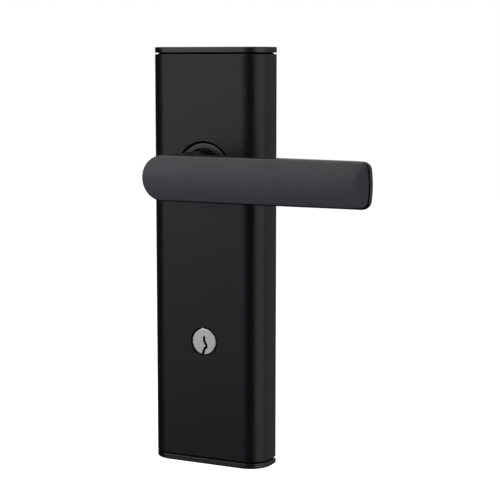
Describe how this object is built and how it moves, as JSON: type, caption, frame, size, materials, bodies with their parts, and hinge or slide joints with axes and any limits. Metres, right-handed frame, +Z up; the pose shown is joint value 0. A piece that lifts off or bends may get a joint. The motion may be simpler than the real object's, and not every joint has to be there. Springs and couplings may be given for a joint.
{
  "type": "lever handle lockset",
  "caption": "Outside unit of a long-plate lever lockset: dark channel plate with end caps, flat lever on a sprung spindle, and a pin cylinder with a tail bar.",
  "frame": {"origin": "on the lever's turning axis, in the plane of the door's face", "axes": "+X along the lever towards its tip, +Y into the door, +Z up"},
  "size_m": [0.132, 0.11, 0.2028],
  "materials": {
    "plate_coat": "fine matt black powder coat",
    "cap_coat": "satin black powder coat",
    "lever_coat": "satin black coat over fine brushing",
    "bush_coat": "satin black coat",
    "satin_nickel": "satin nickel plated brass",
    "shell_nickel": "nickel plated brass, as cast and broached",
    "pin_brass": "turned brass",
    "zinc_plate": "zinc plated pressed steel",
    "bright_steel": "cold drawn steel",
    "die_cast": "die cast zinc alloy, as cast",
    "black_screw": "black oxide",
    "spring_steel": "oil tempered spring wire",
    "foam": "closed cell foam",
    "seal_nylon": "black nylon"
  },
  "bodies": {
    "plate": {"housing": "plate_coat", "top_cap": "cap_coat", "bottom_cap": "cap_coat", "back_plate": "zinc_plate", "gasket": "foam", "cap_screws": "zinc_plate", "fixing_posts": "bright_steel", "lever_bush": "bush_coat", "neck_seal": "seal_nylon", "spring_cassette": "die_cast", "cassette_cover": "zinc_plate", "cassette_screws": "zinc_plate", "return_spring": "spring_steel", "cylinder_shell": "shell_nickel", "chamber_strip": "shell_nickel", "cylinder_seal": "seal_nylon", "driver_pins": "pin_brass", "pin_springs": "spring_steel", "cylinder_clamp": "zinc_plate", "clamp_screws": "zinc_plate"},
    "lever": {"lever": "lever_coat", "lever_set_screw": "black_screw", "spindle": "bright_steel", "thrust_washer": "bright_steel", "lever_circlip": "spring_steel", "spring_hub": "bright_steel"},
    "plug": {"plug": "satin_nickel", "plug_retainer": "shell_nickel", "tail_bar": "bright_steel", "key_pins": "pin_brass"}
  },
  "joints": [
    {"name": "lever_turn", "type": "hinge", "parent": "plate", "child": "lever", "pos_m": [0, 0, 0], "axis": [0, 1, 0], "range_deg": [0, 45], "stiffness_Nm_per_rad": 0.6, "springref_deg": -34.38, "deforming": ["return_spring"]},
    {"name": "plug_turn", "type": "hinge", "parent": "plate", "child": "plug", "pos_m": [0, 0, -0.0824], "axis": [0, 1, 0], "range_deg": [-90, 90]}
  ]
}
